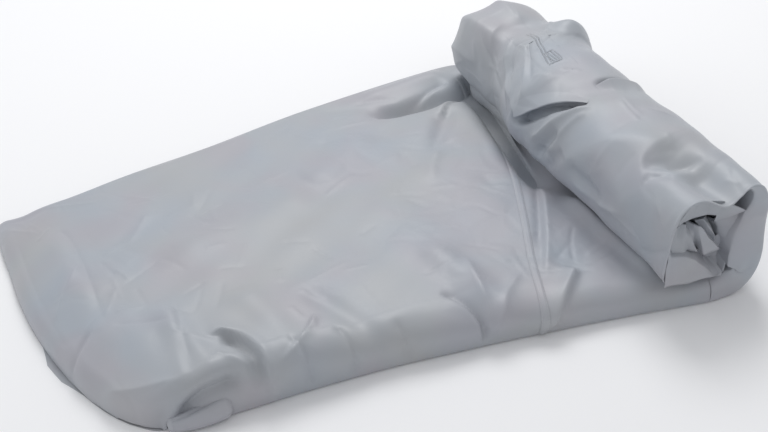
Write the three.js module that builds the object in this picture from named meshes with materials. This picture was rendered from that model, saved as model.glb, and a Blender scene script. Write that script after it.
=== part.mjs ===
// A grey polyester boat cover, folded in half lengthwise, laid flat at one end and rolled up from the other.
// Two panels are joined by a felled seam that runs slantwise over the strip and on under the roll.
// Each panel is a folded bundle of cloth: an under and an upper layer, joined round the near edge, a little
// apart everywhere else. The long panel's bundle runs on into the roll, where its under layer lies outside.
// Millimetres, +Z up, the floor at Z = 0, X along the strip, Y across it from the near edge to the far one.
import * as THREE from "three";

// Crosswise lines of the strip where it lies: the two ends of each, how far it bows along the strip and how much
// that leans to the near end, the bundle's height at its near shoulder and far edge, and its crown between them.
const LAID_ROWS = [
  { place: 0, nearX: -440, nearY: -246, farX: -512, farY: 264, bow: -60, lean: 0.7, near: 44, far: 24, crown: 6 },
  { place: 1, nearX: -404, nearY: -260, farX: -468, farY: 270, bow: -46, lean: 0.8, near: 68, far: 33, crown: 6 },
  { place: 2, nearX: -345, nearY: -264, farX: -400, farY: 275, bow: -32, lean: 0.9, near: 74, far: 36, crown: 4 },
  { place: 3, nearX: -245, nearY: -267, farX: -300, farY: 295, bow: -12, lean: 1, near: 72, far: 36, crown: 4 },
  { place: 4, nearX: -130, nearY: -275, farX: -160, farY: 317, bow: 0, lean: 1, near: 66, far: 34, crown: 6 },
  { place: 5, nearX: -30, nearY: -288, farX: 34, farY: 350, bow: 12, lean: 1, near: 62, far: 36, crown: 6 },
  { place: 6, nearX: 90, nearY: -306, farX: 296, farY: 360, bow: 50, lean: 1.6, near: 52, far: 46, crown: 2 },
  { place: 7, nearX: 220, nearY: -329, farX: 336, farY: 338, bow: 14, lean: 1, near: 44, far: 38, crown: 0 },
  { place: 8, nearX: 339, nearY: -354, farX: 376, farY: 322, bow: 0, lean: 1, near: 40, far: 30, crown: 0 },
];
const BOW_SQUARE = 2.2; // the bow's squareness, where 2 is a parabola
const SEAM_PLACE = 6;
const LAID_END = 8;

// The roll's outline from its near end (0) to its far end (1): centre, half width, half height and squareness.
// The near wraps lie over the far part in a collar, and the far end is drawn in.
const ROLL_ROWS = [
  { across: 0, x: 339, a: 87, b: 97, square: 3.4 },
  { across: 0.12, x: 347, a: 92, b: 96, square: 3 },
  { across: 0.3, x: 352, a: 97, b: 96, square: 2.6 },
  { across: 0.46, x: 352, a: 97, b: 95, square: 2.5 },
  { across: 0.62, x: 357, a: 98, b: 95, square: 2.5 },
  { across: 0.68, x: 364, a: 95, b: 91, square: 2.5 },
  { across: 0.73, x: 371, a: 86, b: 83, square: 2.6 },
  { across: 0.85, x: 376, a: 84, b: 83, square: 2.7 },
  { across: 0.95, x: 378, a: 85, b: 84, square: 2.7 },
  { across: 1, x: 376, a: 78, b: 79, square: 2.5 },
];

// How the bundle winds in from the outline, by turns from the floor, in shares of the half width and half height.
const WINDING_ROWS = [
  { turn: 0, wide: 1, tall: 1, aside: 0, lift: 0 },
  { turn: 0.7, wide: 1, tall: 1, aside: 0, lift: 0 },
  { turn: 0.85, wide: 1, tall: 0.64, aside: -0.03, lift: 0.12 },
  { turn: 1, wide: 0.62, tall: 0.6, aside: -0.2, lift: 0.13 },
  { turn: 1.75, wide: 0.5, tall: 0.44, aside: -0.2, lift: 0.13 },
  { turn: 2, wide: 0.36, tall: 0.3, aside: -0.2, lift: 0.13 },
  { turn: 2.25, wide: 0.27, tall: 0.26, aside: -0.2, lift: 0.13 },
  { turn: 2.7, wide: 0.2, tall: 0.17, aside: -0.2, lift: 0.13 },
];

// The wound bundle's thickness at its near and far end, and where those ends lie.
const WOUND_ROWS = [
  { turn: 0, near: 40, far: 30, nearY: -354, farY: 322 },
  { turn: 0.12, near: 37, far: 25, nearY: -355, farY: 328 },
  { turn: 0.3, near: 29, far: 16, nearY: -352, farY: 332 },
  { turn: 0.5, near: 19, far: 13, nearY: -342, farY: 330 },
  { turn: 0.75, near: 12, far: 12, nearY: -352, farY: 326 },
  { turn: 1, near: 22, far: 13, nearY: -348, farY: 322 },
  { turn: 1.25, near: 18, far: 12, nearY: -336, farY: 318 },
  { turn: 1.5, near: 13, far: 11, nearY: -322, farY: 314 },
  { turn: 2.7, near: 10, far: 9, nearY: -308, farY: 308 },
];

// The main folds where the strip lies: a soft ridge (rise over 0) or trough along a line, and half its width.
const LAID_FOLDS = [
  { fromX: -385, fromY: -105, toX: -362, toY: -250, wide: 26, rise: 7 },
  { fromX: -328, fromY: -150, toX: -300, toY: -262, wide: 24, rise: -12 },
  { fromX: -270, fromY: -120, toX: -255, toY: -255, wide: 34, rise: 5 },
  { fromX: -460, fromY: 170, toX: -470, toY: -120, wide: 30, rise: 5 },
  { fromX: -300, fromY: 30, toX: -90, toY: 80, wide: 60, rise: 5 },
  { fromX: -190, fromY: -150, toX: -140, toY: -270, wide: 26, rise: -6 },
  { fromX: -70, fromY: -225, toX: -30, toY: -300, wide: 22, rise: -9 },
  { fromX: 10, fromY: -130, toX: 44, toY: -292, wide: 34, rise: 9 },
  { fromX: 108, fromY: -300, toX: 190, toY: -205, wide: 17, rise: -10 },
  { fromX: 150, fromY: -310, toX: 250, toY: -240, wide: 28, rise: 5 },
  { fromX: 120, fromY: 262, toX: 300, toY: 258, wide: 24, rise: -15 },
  { fromX: 130, fromY: 322, toX: 280, toY: 332, wide: 26, rise: 7 },
  { fromX: 232, fromY: 222, toX: 150, toY: 110, wide: 22, rise: -7 },
  { fromX: 60, fromY: 200, toX: -60, toY: 120, wide: 50, rise: 6 },
];

// The main folds on the outside of the roll, from turn to turn and from place to place across.
const ROLL_FOLDS = [
  { fromTurn: 0.28, fromY: 184, toTurn: 0.42, toY: 140, wide: 32, rise: 22 },
  { fromTurn: 0.56, fromY: 40, toTurn: 0.78, toY: 62, wide: 24, rise: 6 },
  { fromTurn: 0.42, fromY: -60, toTurn: 0.6, toY: -20, wide: 34, rise: -6 },
  { fromTurn: 0.52, fromY: -200, toTurn: 0.72, toY: -110, wide: 34, rise: 5 },
  { fromTurn: 0.62, fromY: 205, toTurn: 0.8, toY: 175, wide: 24, rise: -5 },
];

// The folded edge and the parting between the layers.
const WALL_SHARE = 0.4; // height of the near wall's widest point, as a share of the bundle's
const WALL_FOOT = 9; // how far the wall draws in below it
const WALL_SHOULDER = 30; // and above it
const SHOULDER_SHARE = 0.7; // the most that the shoulder may reach, as a share of the height
const SLIT_SHARE = 0.44;
const SLIT_GAP = 5;
const SLIT_GAP_WOUND = 3;
const SLIT_END = 46; // from the near edge to the bottom of the parting
const RIM_SHARE = 0.35; // thickness left at a layer's rounded far edge
const RIM_REACH = 12;

const PANEL_GAP = 0.3;
const SEAM_WIDE = 13;
const SEAM_THICK = 1.4;
const SEAM_ROW_LONG = 140; // length of one place of the strip at the seam
const SEAM_LOW = -0.5; // where the band ends on the near wall, as a share of a quarter turn below its middle
const SEAM_FAR = 0.93;

const GREY = 0xa9acb1;
const SEAM_GREY = 0xa0a4aa;

// Steps of the meshes, as shares across the strip and as counts.
const ACROSS_TOP = [0.02, 0.08, 0.15, 0.22, 0.29, 0.36, 0.43, 0.5, 0.57, 0.64, 0.71, 0.78, 0.85, 0.93, 0.98, 1];
const ACROSS_UNDER = [0.03, 0.11, 0.2, 0.3, 0.4, 0.5, 0.58, 0.64, 0.69, 0.74, 0.82, 0.9, 0.96, 1];
const WALL_STEPS = 4;
const STEPS_PER_PLACE = 4;
const OUTER_STEPS = 22; // round the outer wrap
const INNER_STEPS = 12; // round each wrap inside it
const TURNS = 2.7;
const FULL_TURNS = 1.75; // the turns in which the bundle is full, its share across where that starts and its reach
const FULL_NEAR = 0.035;
const FULL_FAR = 0.03;
const FULL_REACH = 0.1;
const WRAP_GAP = 6; // left between a full wrap and the one inside it

const mix = (a, b, k) => a + (b - a) * k;
const clamp = (k, low, high) => Math.min(high, Math.max(low, k));
const rise = (value, from, reach) => clamp((value - from) / reach, 0, 1);
const QUARTER = Math.PI / 2;

// A table's row at a value of its first column, on a smooth curve through the rows, or straight from row to row.
function rowAt(rows, value, straight = false) {
  const key = Object.keys(rows[0])[0];
  const last = rows.length - 1;
  let i = 0;
  while (i < last - 1 && value > rows[i + 1][key]) i += 1;
  const k = clamp((value - rows[i][key]) / (rows[i + 1][key] - rows[i][key]), 0, 1);
  const found = {};
  for (const name of Object.keys(rows[0])) {
    const [b, c] = [rows[i][name], rows[i + 1][name]];
    const before = i > 0 ? (c - rows[i - 1][name]) / 2 : c - b;
    const after = i < last - 1 ? (rows[i + 2][name] - b) / 2 : c - b;
    const curve = b + (before + (3 * (c - b) - 2 * before - after + (2 * (b - c) + before + after) * k) * k) * k;
    found[name] = straight ? mix(b, c, k) : curve;
  }
  return found;
}

// The height of a soft fold at a distance from its line that is 1 at its half width.
const soft = (share) => Math.exp(-2 * share * share);

function distanceToLine(x, y, fromX, fromY, toX, toY) {
  const [alongX, alongY] = [toX - fromX, toY - fromY];
  const k = clamp(((x - fromX) * alongX + (y - fromY) * alongY) / (alongX ** 2 + alongY ** 2), 0, 1);
  return Math.hypot(x - fromX - k * alongX, y - fromY - k * alongY);
}

function laidFold(x, y) {
  let height = 0;
  for (const f of LAID_FOLDS) height += f.rise * soft(distanceToLine(x, y, f.fromX, f.fromY, f.toX, f.toY) / f.wide);
  return height;
}

function rollFold(turn, y, round) {
  let height = 0;
  for (const f of ROLL_FOLDS) {
    const away = distanceToLine(turn * round, y, f.fromTurn * round, f.fromY, f.toTurn * round, f.toY);
    height += f.rise * soft(away / f.wide);
  }
  return height;
}

// A point on the winding line, the outside of the wound bundle, in the XZ plane.
function windingPoint(turn, across) {
  const roll = rowAt(ROLL_ROWS, across);
  const wind = rowAt(WINDING_ROWS, turn, true);
  const angle = (turn - 0.25) * 2 * Math.PI;
  const [c, s] = [Math.cos(angle), Math.sin(angle)];
  const [a, b] = [roll.a * wind.wide, roll.b * wind.tall];
  const r = (Math.abs(c / a) ** roll.square + Math.abs(s / b) ** roll.square) ** (-1 / roll.square);
  return [roll.x + roll.a * wind.aside + r * c, roll.b * (1 + wind.lift) + r * s];
}

// The bundle at a place along the strip: its ends, its width and how it is wound. Places past LAID_END are turns.
function lineAt(place) {
  const wound = place > LAID_END;
  const row = wound ? rowAt(WOUND_ROWS, place - LAID_END, true) : rowAt(LAID_ROWS, place);
  const wide = wound ? row.farY - row.nearY : Math.hypot(row.farX - row.nearX, row.farY - row.nearY);
  return { ...row, place, wound, wide, turn: place - LAID_END };
}

function heightAt(line, across) {
  const flat = mix(line.near, line.far, clamp(across, 0, 1));
  return line.wound ? flat : flat + line.crown * Math.sin(Math.PI * clamp(across, 0, 1));
}

// A point of the bundle: across the line (0 to 1) and up from its under face, which on the roll is inwards.
function placed(line, across, up) {
  const y = mix(line.nearY, line.farY, across);
  if (!line.wound) {
    const ahead = clamp(line.place - (LAID_END - 1), 0, 1);
    const straight = mix(ROLL_ROWS[0].x, ROLL_ROWS[ROLL_ROWS.length - 1].x, across);
    const toRoll = ahead * (rowAt(ROLL_ROWS, across).x - straight);
    const bow = line.bow * (1 - Math.abs(2 * clamp(across, 0, 1) ** line.lean - 1) ** BOW_SQUARE);
    return new THREE.Vector3(mix(line.nearX, line.farX, across) + bow + toRoll, y, up);
  }
  const step = 0.01;
  const [x, z] = windingPoint(line.turn, across);
  const [x0, z0] = windingPoint(Math.max(line.turn - step, 0), across);
  const [x1, z1] = windingPoint(line.turn + step, across);
  const long = Math.hypot(x1 - x0, z1 - z0);
  const inwards = (far) => [x - (far * (z1 - z0)) / long, z + (far * (x1 - x0)) / long];
  // Away from its ends the wound bundle is full, and all but fills the room up to the wrap inside it.
  const high = heightAt(line, across);
  const [innerX, innerZ] = inwards(high);
  const [nextX, nextZ] = windingPoint(line.turn + 1, across);
  const room = Math.hypot(nextX - innerX, nextZ - innerZ);
  const full = rise(line.turn, 0, 0.08) * rise(FULL_TURNS - line.turn, 0, 0.2);
  const middle = rise(across, FULL_NEAR, FULL_REACH) * rise(1 - across, FULL_FAR, FULL_REACH);
  const share = (clamp(1 - WRAP_GAP / room, 0, 1) * full * middle * Math.max(up, 0)) / high;
  const [thinX, thinZ] = inwards(up);
  return new THREE.Vector3(thinX + (nextX - innerX) * share, y, thinZ + (nextZ - innerZ) * share);
}

// The columns of a section, from the under layer's far edge round the near wall to the upper layer's far edge.
function columns() {
  const under = [...ACROSS_UNDER].reverse().map((across) => ({ layer: "under", across }));
  const upper = ACROSS_TOP.map((across) => ({ layer: "upper", across }));
  const wall = [];
  for (let i = 1 - WALL_STEPS; i < WALL_STEPS; i += 1) wall.push({ layer: "wall", quarter: i / WALL_STEPS });
  return [...under, ...wall, ...upper];
}

// The wall's outer point: a square foot below its widest point, a rounder shoulder above. out lifts it off.
function wallPoint(line, quarter, out) {
  const high = heightAt(line, 0);
  const shoulder = Math.min(WALL_SHOULDER, high * SHOULDER_SHARE);
  const middle = high * WALL_SHARE;
  const [c, s] = [Math.cos(quarter * QUARTER), Math.sin(quarter * QUARTER)];
  const above = quarter > 0;
  const inset = (above ? shoulder : WALL_FOOT) * (1 - c ** (above ? 0.85 : 0.6));
  const up = above ? middle + (high - middle) * s ** 0.85 : middle * (1 - Math.abs(s) ** 0.6);
  const point = placed(line, (inset - out * c) / line.wide, up + out * s);
  if (!line.wound) point.z += laidFold(point.x, point.y) * Math.max(s, 0);
  return point;
}

// How far in the flat part of a layer starts, as a share across.
function flatStart(line, layer) {
  const shoulder = Math.min(WALL_SHOULDER, heightAt(line, 0) * SHOULDER_SHARE);
  return (layer === "under" ? WALL_FOOT : shoulder) / line.wide;
}

// The top of the upper layer, lifted off by out.
function topPoint(line, across, out) {
  const point = placed(line, across, heightAt(line, across) + out);
  if (!line.wound) point.z += laidFold(point.x, point.y);
  return point;
}

// A layer's thickness share near its rounded far edge.
function rimShare(distance) {
  const k = clamp(distance / RIM_REACH, 0, 1);
  return mix(RIM_SHARE, 1, Math.sqrt(1 - (1 - k) ** 2));
}

// The outer point of a column and the point inside it, on the parting between the layers.
function sectionPair(line, column, endShare) {
  const gap = (line.wound ? mix(SLIT_GAP, SLIT_GAP_WOUND, clamp(line.turn * 5, 0, 1)) : SLIT_GAP) / 2;
  const slitEnd = Math.min(SLIT_END, heightAt(line, 0) * 1.2) / line.wide;
  if (column.layer === "wall") {
    const [c, s] = [Math.cos(column.quarter * QUARTER), Math.sin(column.quarter * QUARTER)];
    const slit = heightAt(line, slitEnd) * SLIT_SHARE;
    return [wallPoint(line, column.quarter, 0), placed(line, slitEnd - (gap / line.wide) * c, slit + gap * s)];
  }
  const under = column.layer === "under";
  const across = mix(flatStart(line, column.layer), 1, column.across);
  const inner = mix(slitEnd, 1, column.across);
  const share = rimShare((1 - column.across) * line.wide) * endShare;
  const high = heightAt(line, inner);
  const slit = high * SLIT_SHARE;
  if (under) {
    const round = 2 * Math.PI * ROLL_ROWS[0].b;
    const dent = line.wound ? -rollFold(line.turn, mix(line.nearY, line.farY, across), round) : 0;
    return [placed(line, across, dent), placed(line, inner, (slit - gap) * share)];
  }
  const thin = ((high - slit - gap) * (1 - share)) / 2;
  return [topPoint(line, across, -thin), placed(line, inner, slit + gap + thin)];
}

// A closed mesh round two grids of points, with rims on all four sides.
function slab(outer, inner) {
  const [rows, cols] = [outer.length, outer[0].length];
  const at = (layer, i, j) => layer * rows * cols + i * cols + j;
  const faces = [];
  const quad = (a, b, c, d) => faces.push(a, c, b, a, d, c);
  for (let i = 0; i < rows - 1; i += 1) {
    for (let j = 0; j < cols - 1; j += 1) {
      quad(at(0, i, j), at(0, i, j + 1), at(0, i + 1, j + 1), at(0, i + 1, j));
      quad(at(1, i, j), at(1, i + 1, j), at(1, i + 1, j + 1), at(1, i, j + 1));
    }
    quad(at(0, i, 0), at(0, i + 1, 0), at(1, i + 1, 0), at(1, i, 0));
    quad(at(0, i + 1, cols - 1), at(0, i, cols - 1), at(1, i, cols - 1), at(1, i + 1, cols - 1));
  }
  for (let j = 0; j < cols - 1; j += 1) {
    quad(at(0, 0, j), at(1, 0, j), at(1, 0, j + 1), at(0, 0, j + 1));
    quad(at(0, rows - 1, j), at(0, rows - 1, j + 1), at(1, rows - 1, j + 1), at(1, rows - 1, j));
  }
  const geometry = new THREE.BufferGeometry().setFromPoints([...outer.flat(), ...inner.flat()]);
  geometry.setIndex(faces);
  geometry.computeVertexNormals();
  return geometry;
}

function cloth(name, colour, geometry) {
  const material = new THREE.MeshStandardMaterial({ color: colour, roughness: 0.6, metalness: 0 });
  const mesh = new THREE.Mesh(geometry, material);
  mesh.name = name;
  return mesh;
}

// A panel's bundle through a list of places, each with the thickness share of its layers there.
function panel(stations) {
  const section = columns();
  const pairs = stations.map(({ place, share }) => {
    const line = lineAt(place);
    return section.map((column) => sectionPair(line, column, share));
  });
  return slab(
    pairs.map((row) => row.map((pair) => pair[0])),
    pairs.map((row) => row.map((pair) => pair[1])),
  );
}

const SEAM_REACH = SEAM_WIDE / 2 / SEAM_ROW_LONG;
const SEAM_PARTING = PANEL_GAP / 2 / SEAM_ROW_LONG;

// The panel left of the seam, from its end, where the layers are rounded off, to the seam.
function endPanel() {
  const stations = [
    { place: 0, share: RIM_SHARE },
    { place: 0.1, share: 0.75 },
  ];
  for (let i = 1; i < SEAM_PLACE * STEPS_PER_PLACE; i += 1) stations.push({ place: i / STEPS_PER_PLACE, share: 1 });
  stations.push({ place: SEAM_PLACE - SEAM_REACH, share: 1 }, { place: SEAM_PLACE - SEAM_PARTING, share: 1 });
  return cloth("end_panel", GREY, panel(stations));
}

// The panel right of the seam, which runs under the roll and is wound up into it.
function longPanel() {
  const stations = [
    { place: SEAM_PLACE + SEAM_PARTING, share: 1 },
    { place: SEAM_PLACE + SEAM_REACH, share: 1 },
  ];
  const laid = (LAID_END - SEAM_PLACE) * STEPS_PER_PLACE;
  for (let i = 1; i <= laid; i += 1) stations.push({ place: SEAM_PLACE + i / STEPS_PER_PLACE, share: 1 });
  for (let i = 1; i <= OUTER_STEPS; i += 1) stations.push({ place: LAID_END + i / OUTER_STEPS, share: 1 });
  const inner = Math.round((TURNS - 1) * INNER_STEPS);
  for (let i = 1; i <= inner; i += 1) {
    stations.push({ place: LAID_END + 1 + (i / inner) * (TURNS - 1), share: i === inner ? RIM_SHARE : 1 });
  }
  return cloth("long_panel", GREY, panel(stations));
}

// The felled seam's band, just off both panels, from low on the near wall to near the far edge.
function felledSeam() {
  const places = [-SEAM_REACH, -SEAM_PARTING, SEAM_PARTING, SEAM_REACH].map((reach) => SEAM_PLACE + reach);
  const grid = (out) =>
    places.map((place) => {
      const line = lineAt(place);
      const points = [];
      for (let i = SEAM_LOW * WALL_STEPS; i < WALL_STEPS; i += 1) points.push(wallPoint(line, i / WALL_STEPS, out));
      for (const share of ACROSS_TOP.filter((across) => across <= SEAM_FAR)) {
        points.push(topPoint(line, mix(flatStart(line, "upper"), 1, share), out));
      }
      return points;
    });
  return cloth("felled_seam", SEAM_GREY, slab(grid(PANEL_GAP + SEAM_THICK), grid(PANEL_GAP)));
}

// The whole cover, with its origin under the middle of its outline.
function cover() {
  const pieces = [endPanel(), longPanel(), felledSeam()];
  const box = new THREE.Box3();
  for (const piece of pieces) box.expandByObject(piece);
  const middle = box.getCenter(new THREE.Vector3());
  for (const piece of pieces) piece.geometry.translate(-middle.x, -middle.y, 0);
  return new THREE.Group().add(...pieces);
}

export default cover();
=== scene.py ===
"""A grey polyester boat cover, folded lengthwise, laid flat at one end and rolled up from the other."""
import math

import bpy
import numpy as np
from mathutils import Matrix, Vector


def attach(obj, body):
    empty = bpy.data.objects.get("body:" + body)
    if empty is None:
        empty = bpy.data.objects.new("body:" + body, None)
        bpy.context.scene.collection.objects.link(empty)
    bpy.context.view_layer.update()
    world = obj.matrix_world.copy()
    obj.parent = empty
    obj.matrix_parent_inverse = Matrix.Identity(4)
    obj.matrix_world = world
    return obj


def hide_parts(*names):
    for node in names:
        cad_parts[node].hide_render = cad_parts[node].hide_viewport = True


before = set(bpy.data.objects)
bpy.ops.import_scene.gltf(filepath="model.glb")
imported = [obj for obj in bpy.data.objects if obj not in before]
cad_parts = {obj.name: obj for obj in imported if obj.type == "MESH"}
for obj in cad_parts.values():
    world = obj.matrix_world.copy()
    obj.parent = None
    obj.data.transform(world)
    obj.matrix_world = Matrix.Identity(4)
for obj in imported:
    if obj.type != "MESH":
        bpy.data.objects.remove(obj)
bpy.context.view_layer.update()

# The floor, the lights and the camera. The cover lies on a plain white studio floor, under a wide soft
# light from above and behind, so its tops are pale and the side towards the camera is darker.
floor_mesh = bpy.data.meshes.new("studio_floor")
floor_mesh.from_pydata([(-9, -9, 0), (9, -9, 0), (9, 9, 0), (-9, 9, 0)], [], [(0, 1, 2, 3)])
floor = bpy.data.objects.new("studio_floor", floor_mesh)
floor_finish = bpy.data.materials.new("studio_floor")
floor_finish.use_nodes = True
floor_shader = floor_finish.node_tree.nodes["Principled BSDF"]
floor_shader.inputs["Base Color"].default_value = (0.92, 0.92, 0.93, 1)
floor_shader.inputs["Roughness"].default_value = 0.9
floor_mesh.materials.append(floor_finish)
bpy.context.scene.collection.objects.link(floor)

world = bpy.data.worlds.new("studio")
world.use_nodes = True
world.node_tree.nodes["Background"].inputs["Color"].default_value = (0.97, 0.98, 1, 1)
world.node_tree.nodes["Background"].inputs["Strength"].default_value = 0.60
bpy.context.scene.world = world
bpy.context.scene.view_settings.view_transform = "Standard"


def studio_light(name, place, towards, wide, power, colour):
    """A square soft light at a place, turned towards a point."""
    lamp = bpy.data.lights.new(name, "AREA")
    lamp.size = wide
    lamp.energy = power
    lamp.color = colour
    light = bpy.data.objects.new(name, lamp)
    light.location = place
    light.rotation_euler = (Vector(place) - Vector(towards)).to_track_quat("Z", "Y").to_euler()
    bpy.context.scene.collection.objects.link(light)


studio_light("back_softbox", (0.9, 1.5, 2.5), (0, 0, 0.05), 1.5, 40, (1, 1, 1))
studio_light("side_softbox", (-2.2, 0.9, 1.7), (-0.1, 0, 0.1), 1.4, 9, (0.95, 0.98, 1))

AZIMUTH, ELEVATION = math.radians(-27), math.radians(35)
LOOKS_AT = Vector((0.0339, -0.0028, 0.040))
CAMERA_AWAY = 2.1
SENSOR_WIDE = 36  # millimetres
FOCAL_LENGTH = 1400 / 768  # as a share of the sensor's width
back = Vector(
    (
        math.sin(AZIMUTH) * math.cos(ELEVATION),
        -math.cos(AZIMUTH) * math.cos(ELEVATION),
        math.sin(ELEVATION),
    )
)
camera = bpy.data.objects.new("camera", bpy.data.cameras.new("camera"))
camera.data.sensor_width = SENSOR_WIDE
camera.data.lens = SENSOR_WIDE * FOCAL_LENGTH
camera.location = LOOKS_AT + CAMERA_AWAY * back
camera.rotation_euler = back.to_track_quat("Z", "Y").to_euler()
bpy.context.scene.collection.objects.link(camera)
bpy.context.scene.camera = camera

# The end panel: one polyester panel, folded lengthwise into a thick strip whose folded edge lies near the
# camera and whose far edges are loose. The top layer falls over the end of the strip, and the layer under
# it peeks out. Metres throughout, X along the strip and Y across it.
# The middle of the part's outline, which make_piece takes off each point:
MIDDLE = np.array([-0.03389, 0.00277, 0])

# Crosswise lines of the strip: where each end lies, how far the line bows along the strip and how much that
# leans to the near end, the height at its near shoulder and far edge, and its crown. The columns are place,
# near x, near y, far x, far y, bow, lean, near height, far height and crown.
LAID_ROWS = [
    (0, -0.440, -0.246, -0.512, 0.264, -0.060, 0.7, 0.044, 0.024, 0.006),
    (1, -0.404, -0.260, -0.468, 0.270, -0.046, 0.8, 0.068, 0.033, 0.006),
    (2, -0.345, -0.264, -0.400, 0.275, -0.032, 0.9, 0.074, 0.036, 0.004),
    (3, -0.245, -0.267, -0.300, 0.295, -0.012, 1, 0.072, 0.036, 0.004),
    (4, -0.130, -0.275, -0.160, 0.317, 0, 1, 0.066, 0.034, 0.006),
    (5, -0.030, -0.288, 0.034, 0.350, 0.012, 1, 0.062, 0.036, 0.006),
    (6, 0.090, -0.306, 0.296, 0.360, 0.050, 1.6, 0.052, 0.046, 0.002),
    (7, 0.220, -0.329, 0.336, 0.338, 0.014, 1, 0.044, 0.038, 0),
    (8, 0.339, -0.354, 0.376, 0.322, 0, 1, 0.040, 0.030, 0),
]
SEAM_PLACE = 6
WALL_MIDDLE = 0.4  # height of the near side's widest point, as a share
FOOT = 0.009  # how far the near side draws in below that point
SHOULDER = 0.030  # how far it draws in above it where the roll begins
# how far it draws in above it on the strip, by place
SHOULDER_ROWS = [
    (0, 0.026),
    (1, 0.030),
    (2, 0.036),
    (3, 0.042),
    (4, 0.046),
    (5.4, 0.058),
    (6, 0.056),
    (6.6, 0.036),
    (8, 0.030),
]
FLOOR_GAP = 0.0008
UPPER_RIM = 0.010  # how far in the upper layer's far edge is rounded
UNDER_RIM = 0.006  # and the under layer's
SLIT_SHARE = 0.44  # height of the parting between the layers
SLIT_GAP = 0.005
SLIT_END = 0.046  # how far from the near side the parting stops


def mix(a, b, share):
    """The value a share of the way from a to b."""
    return a + (b - a) * share


def smooth(share):
    """A share from 0 to 1, eased at both ends: 3 times its square less 2 times its cube."""
    share = np.clip(share, 0, 1)
    return share * share * (3 - 2 * share)


def rows_at(rows, value, straight=False):
    """The columns of a table at values of its first one: straight between rows, or on a cubic curve through
    them whose slope at a row is half the step from the row before it to the row after it."""
    table = np.array(rows, float)
    last = len(table) - 1
    value = np.clip(np.asarray(value, float), table[0, 0], table[last, 0])
    i = np.clip(np.searchsorted(table[:, 0], value, "left") - 1, 0, last - 1)
    k = ((value - table[i, 0]) / (table[i + 1, 0] - table[i, 0]))[..., None]
    b, c = table[i], table[i + 1]
    if straight:
        return np.moveaxis(mix(b, c, k), -1, 0)[1:]
    before = np.where((i > 0)[..., None], (c - table[np.maximum(i - 1, 0)]) / 2, c - b)
    after = np.where((i < last - 1)[..., None], (table[np.minimum(i + 2, last)] - b) / 2, c - b)
    curve = b + (before + (3 * (c - b) - 2 * before - after + (2 * (b - c) + before + after) * k) * k) * k
    return np.moveaxis(curve, -1, 0)[1:]


def laid_line(place):
    """The line of the strip at each place, as a point function, with its heights and its width. A point
    lies a share across from the near end to the far one, moved along the strip by the bow, which is a
    flattened arch."""
    near_x, near_y, far_x, far_y, bow, lean, near, far, crown = rows_at(LAID_ROWS, place)

    def point(across, up):
        inside = np.clip(across, 0, 1)
        x = mix(near_x, far_x, across) + bow * (1 - np.abs(2 * inside**lean - 1) ** 2.2)
        return np.stack(np.broadcast_arrays(x, mix(near_y, far_y, across), up), -1)

    def height(across):
        return mix(near, far, across) + crown * np.sin(np.pi * np.clip(across, 0, 1))

    return point, height, np.hypot(far_x - near_x, far_y - near_y)


def bundle(line, counts, gap=SLIT_GAP, reach=SHOULDER, foot=FOOT):
    """The skin of a folded bundle, as a grid of points. It runs from the under layer's far edge to the near
    side, up that and over to the upper layer's far edge, round it, and back through the parting to the
    under layer. The near side is a quarter of a rounded square below its widest point and a softer one
    above it. Returns the points and the number of the first column of each stretch."""
    point, height, wide = line
    under, side, upper, rim, slit = counts
    high = height(0)
    shoulder = np.minimum(reach, high * 1.2)
    middle = high * WALL_MIDDLE
    a = np.linspace(1, 0, under)[None]
    parts = [point(mix(foot / wide, 1, a), FLOOR_GAP + 0 * high)]
    quarter = np.linspace(-1, 1, side + 2)[None, 1:-1] * np.pi / 2
    c, s = np.cos(quarter), np.sin(quarter)
    inset = np.where(s > 0, shoulder * (1 - c**0.9), foot * (1 - c**0.6))
    up = np.where(s > 0, middle + (high - middle) * np.abs(s) ** 0.85, middle * (1 - np.abs(s) ** 0.6))
    parts.append(point(inset / wide, up))
    upper_end, under_end = 1 - UPPER_RIM / wide, 1 - UNDER_RIM / wide
    a = mix(shoulder / wide, upper_end, np.linspace(0, 1, upper)[None])
    parts.append(point(a, height(a)))
    slit_end = SLIT_END / wide
    turned = np.linspace(-np.pi / 2, np.pi / 2, rim + 2)[None, 1:-1]
    top, low = height(1), height(1) * SLIT_SHARE + gap / 2
    up = (top + low) / 2 - (top - low) / 2 * np.sin(turned)
    parts.append(point(1 - UPPER_RIM / wide * (1 - np.cos(turned)), up))
    a = mix(slit_end, upper_end, np.linspace(1, 0, slit)[None])
    parts.append(point(a, height(a) * SLIT_SHARE + gap / 2))
    a = mix(slit_end, under_end, np.linspace(0, 1, slit)[None])
    parts.append(point(a, height(a) * SLIT_SHARE - gap / 2))
    low = height(1) * SLIT_SHARE - gap / 2
    parts.append(point(1 - UNDER_RIM / wide * (1 - np.cos(turned)), low / 2 - low / 2 * np.sin(turned)))
    starts = np.cumsum([0] + [p.shape[1] for p in parts])
    return np.concatenate(parts, 1), starts


def bend_line(points, count=15):
    """Points on the quadratic curve from the first of three points, through the second, to the third."""
    a, b, c = np.array(points, float).reshape(3, 2)
    k = np.linspace(0, 1, count)[:, None]
    return (1 - k) ** 2 * a + 2 * k * (1 - k) * (2 * b - (a + c) / 2) + k**2 * c


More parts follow.
